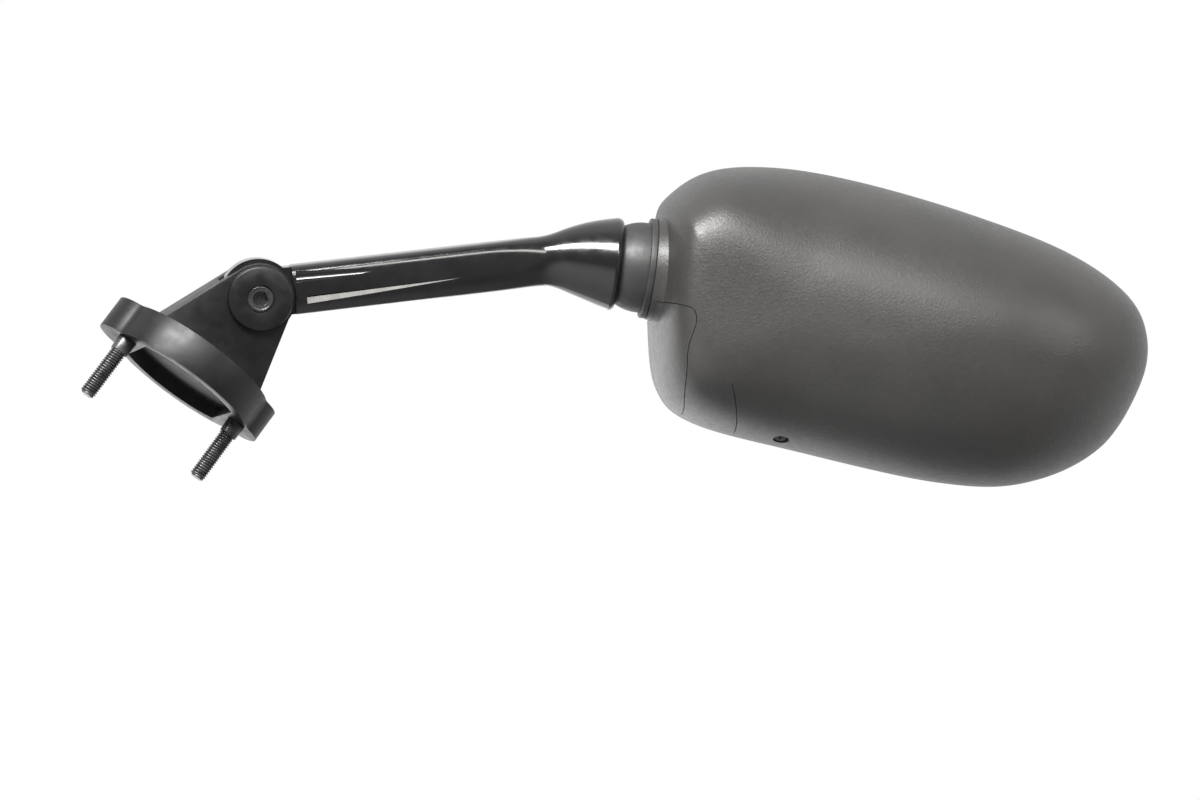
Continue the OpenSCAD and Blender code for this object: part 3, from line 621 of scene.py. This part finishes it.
outline_points = [(7.5, -20), (14, -45), (30, -56.5), (72, -62.5), (128, -67.8), (163, -64),
                  (190, -47), (203, -20), (203, 0), (192, 15.5), (166, 28.6), (125, 38.5),
                  (82, 45), (50, 46.2), (24, 41.5), (9, 29.5), (5.5, 19), (5.5, 0)]
head_near, head_far = 5.5, 203
crown_left, crown_right = Vector((33, -9.5)), Vector((95, -13))
rim_z, dome_front, shell_wall, rim_round = -26, 38, 2.5, 0.7
fullness_far, fullness_near, fullness_reach = 2.6, 4.8, 75


def crown_at(p):
    """Point of the crown line that a point of the outline belongs to."""
    return crown_left.lerp(crown_right, (p.x - head_near) / (head_far - head_near))


def head_outline(inset, steps=12):
    """Outline of the head as a smooth closed curve, pulled in towards the crown."""
    points = [Vector(p) for p in outline_points]
    count, curve = len(points), []
    for i in range(count):
        a, b, c, d = (points[(i + j) % count] for j in (-1, 0, 1, 2))
        for s in range(steps):
            k = s / steps
            p = 0.5 * (2 * b + (c - a) * k + (2 * a - 5 * b + 4 * c - d) * k * k
                       + (3 * b - a - 3 * c + d) * k ** 3)
            v = p - crown_at(p)
            curve.append(crown_at(p) + v * (1 - inset / v.length))
    return curve


def head_ring(mesh, curve, placed):
    """One closed ring of the head, a point of it for each point of the curve."""
    ring = bmesh.ops.create_circle(mesh, segments=len(curve), radius=1)["verts"]
    for v, p in zip(ring, curve):
        v.co = placed(p)
    return list({e for v in ring for e in v.link_edges})


def dome(inset, levels=36, steps=12, edge=0.0, foot=0.0):
    """Closed dome over the head's outline: vertical at the rim and flat at the crown."""
    steep = math.radians(84)
    mesh = bmesh.new()
    top = dome_front - inset
    curve = head_outline(inset, steps)
    rings = []
    if edge:
        for angle in (0, 30, 60):
            pull = edge * (1 - math.sin(math.radians(angle)))
            lift = edge * (1 - math.cos(math.radians(angle)))
            rings.append(head_ring(mesh, head_outline(inset + pull, steps),
                                   lambda p: (p.x, p.y, rim_z + lift)))
    if foot:
        rings.append(head_ring(mesh, curve, lambda p: (p.x, p.y, rim_z - foot)))

    def on_dome(p, share):
        full = fullness_far + fullness_near * max(0, 1 - p.x / fullness_reach) ** 2
        if share <= 1:
            t = math.cos(steep * share) ** (2 / full)
        else:
            t = math.cos(steep) ** (2 / full) * (2 - share)
        q = crown_at(p).lerp(p, t)
        return (q.x, q.y, rim_z + (top - rim_z) * math.sqrt(max(0, 1 - t ** full)))

    start = math.sqrt(2 * edge / (top - rim_z)) if edge else 0
    for level in range(levels + 1):
        share = start + (1 - start) * level / levels
        rings.append(head_ring(mesh, curve, lambda p: on_dome(p, share)))
    for step in range(1, 12):
        rings.append(head_ring(mesh, curve, lambda p: on_dome(p, 1 + step / 11.6)))
    for low, high in zip(rings, rings[1:]):
        bmesh.ops.bridge_loops(mesh, edges=low + high)
    bmesh.ops.holes_fill(mesh, edges=rings[0])
    bmesh.ops.holes_fill(mesh, edges=rings[-1])
    bmesh.ops.recalc_face_normals(mesh, faces=mesh.faces)
    return mesh


def slab(points, low, high):
    """Flat outline in the head's frame drawn up from low to high."""
    mesh = bmesh.new()
    line = [mesh.verts.new((p[0], p[1], low)) for p in points]
    face = mesh.faces.new(line)
    made = bmesh.ops.extrude_face_region(mesh, geom=[face])["geom"]
    bmesh.ops.translate(mesh, vec=(0, 0, high - low),
                        verts=[g for g in made if isinstance(g, bmesh.types.BMVert)])
    bmesh.ops.recalc_face_normals(mesh, faces=mesh.faces)
    return mesh


well_r, screw_hole_r = 3, 1.6
well_place = Matrix.Translation((61.5, -57.5, -2)) @ Matrix.Rotation(math.radians(35), 4, "X")


def well_bar(radius, low, high, tall=1.0):
    """Round or oval bar along the axis of the screw well."""
    bar = round_bar(radius, low, high, "Z", 64)
    bmesh.ops.scale(bar, vec=(1, tall, 1), verts=bar.verts)
    bmesh.ops.transform(bar, matrix=well_place, verts=bar.verts)
    return bar


wall = dome(0, edge=rim_round)
near_neck = [e for e in wall.edges if all(v.co.x < 30 and v.co.yz.length < 34 for v in e.verts)]
bmesh.ops.subdivide_edges(wall, edges=near_neck, cuts=2, use_grid_fill=True)
throat_start, throat_r, throat_end = collar_end + 0.03, 19.3, 16
flare = [(throat_start, throat_r), (5.2, 19.45), (6.4, 19.65), (8, 20), (9.4, 20.65), (10.8, 21.5),
         (12, 22.4), (13.4, 23.5), (14.8, 24.8), (throat_end, 25.9)]
throat = bmesh.new()
turned(throat, [(throat_start, 0), *flare, (throat_end, 0)], 160)
carved(wall, [throat], "UNION")
around = [v for v in wall.verts if v.co.x < 26 and 20.4 < v.co.yz.length < 32]
for _ in range(14):
    bmesh.ops.smooth_vert(wall, verts=around, factor=0.5, use_axis_x=True, use_axis_y=True,
                          use_axis_z=True)

# Hollow inside, with the screw's boss and the four posts of the backing plate left standing.
cavity = dome(shell_wall, levels=16, steps=4, foot=1)
boss_r, post_r, post_end = 4.4, 3.6, -19
carved(cavity, [well_bar(boss_r, -8, 40)])
for x, y in ((34, 26), (150, 10), (140, -48), (40, -36)):
    post = round_bar(post_r, post_end, 45, "Z", 32)
    bmesh.ops.translate(post, vec=(x, y, 0), verts=post.verts)
    carved(cavity, [post])
carved(cavity, [round_bar(throat_r, -2, 12, "X", 128)])
carved(wall, [cavity, round_bar(throat_r, -18, throat_start, "X", 160),
              round_bar(stub_r + 0.1, 0, 13, "X", 160)])

# Corner cover: a separate moulded cap at the lower corner beside the neck, clipped into
# the shell, with a fine seam between them.
seam_line = rounded([(-8, -14), (8, -12.5), (18, -14.2), (19.4, -18.6), (17.4, -28.5), (20, -46),
                     (24.6, -56), (28, -80)], 4, 4)


def seam_region(grow):
    """The corner cut off by the seam, grown by the seam's gap."""
    points = []
    for i, p in enumerate(seam_line):
        before = Vector(seam_line[max(0, i - 1)])
        after = Vector(seam_line[min(len(seam_line) - 1, i + 1)])
        along = (after - before).normalized()
        points.append(Vector(p) + Vector((-along.y, along.x)) * grow)
    corner = slab([*points, (-8 - grow, -80)], -20 - grow, 60)
    return carved(corner, [round_bar(19.6 - grow, -10, 13, "X", 160)])


cover = wall.copy()
carved(cover, [seam_region(0)], "INTERSECT")
finished(cover, "corner_cap", head_frame, "head", shell_black, ["corner_cover"], 32)

# The shell's own screw well, the fine edge of the mould insert beside it, and its finish.
insert_line = slab([(35.6, -40), (35.95, -40), (46.15, -62), (45.8, -62)], -24, 60)
carved(insert_line, [dome(0.45, levels=14, steps=4)])
seam_gap = 0.25
carved(wall, [seam_region(seam_gap), well_bar(well_r, -3, 12, 1.35), well_bar(screw_hole_r, -9, -1),
              insert_line])
finished(wall, "head_shell", head_frame, "head", shell_black, ["shell"], 32)

# Screw in the well: a small cross-recess screw, driven through the shell's
# boss from outside. It holds the backing plate. Its dark blackened finish is painted
# shade: it stands in for the shadow of a deeper well, while its glint is real.
given(screw_black, "shell_screw")

# Backing plate and foam pad behind the glass: a plain black moulding screwed to the
# shell's posts, and a sheet of closed-cell foam stuck to it.
inner_black, tree, shader, place = paint("inner_plastic", (0.04, 0.04, 0.04), 0.5)
bumps(tree, shader, noise(tree, place, 0.6, 3), 0.02)
wire(tree, shades(tree, spread(tree, noise(tree, place, 8, 3), 0, 1), (0.03, 0.03, 0.03),
                  (0.05, 0.05, 0.05)), shader.inputs["Base Color"])
foam, tree, shader, place = paint("closed_cell_foam", (0.05, 0.05, 0.05), 0.9, 0.2)
bumps(tree, shader, noise(tree, place, 0.4, 2), 0.15)
wire(tree, shades(tree, spread(tree, noise(tree, place, 0.6, 3), 0, 1), (0.03, 0.03, 0.03),
                  (0.07, 0.07, 0.07)), shader.inputs["Base Color"])
given(inner_black, "backing_plate")
given(foam, "glass_pad")

# Mirror glass: flat silvered glass with a ground edge, set just inside the shell's rim
# and stuck to the foam pad.
silvered, tree, shader, place = paint("silvered_glass", (0.8, 0.83, 0.86), 0.03, 0.5, 1)
wire(tree, spread(tree, noise(tree, place, 18, 4), 0.02, 0.06), shader.inputs["Roughness"])
wire(tree, shades(tree, spread(tree, noise(tree, place, 40, 2), 0, 1), (0.78, 0.81, 0.84),
                  (0.83, 0.86, 0.88)), shader.inputs["Base Color"])
glass_back, glass_front, glass_inset = -25, -22.8, 4.9
glass = slab(head_outline(glass_inset, 8), glass_back, glass_front)
softened(glass, 0.4, 2, 50)
finished(glass, "glass", head_frame, "head", silvered, ["mirror_glass"], 30)

# Rim seal: a black rubber strip with rounded edges, pressed in between the shell and
# the glass.
rubber, tree, shader, place = paint("seal_rubber", (0.02, 0.02, 0.02), 0.65, 0.3)
bumps(tree, shader, noise(tree, place, 0.5, 3), 0.03)
wire(tree, shades(tree, spread(tree, noise(tree, place, 5, 3), 0, 1), (0.015, 0.015, 0.015),
                  (0.03, 0.03, 0.03)), shader.inputs["Base Color"])
seal_outside, seal_inside, seal_front = 2.7, 4.7, -22
seal = slab(head_outline(seal_outside, 8), glass_back, seal_front)
carved(seal, [slab(head_outline(seal_inside, 8), glass_back - 1, seal_front + 1)])
softened(seal, 0.5, 3, 50)
finished(seal, "glass_seal", head_frame, "head", rubber, ["rim_seal"], 30)
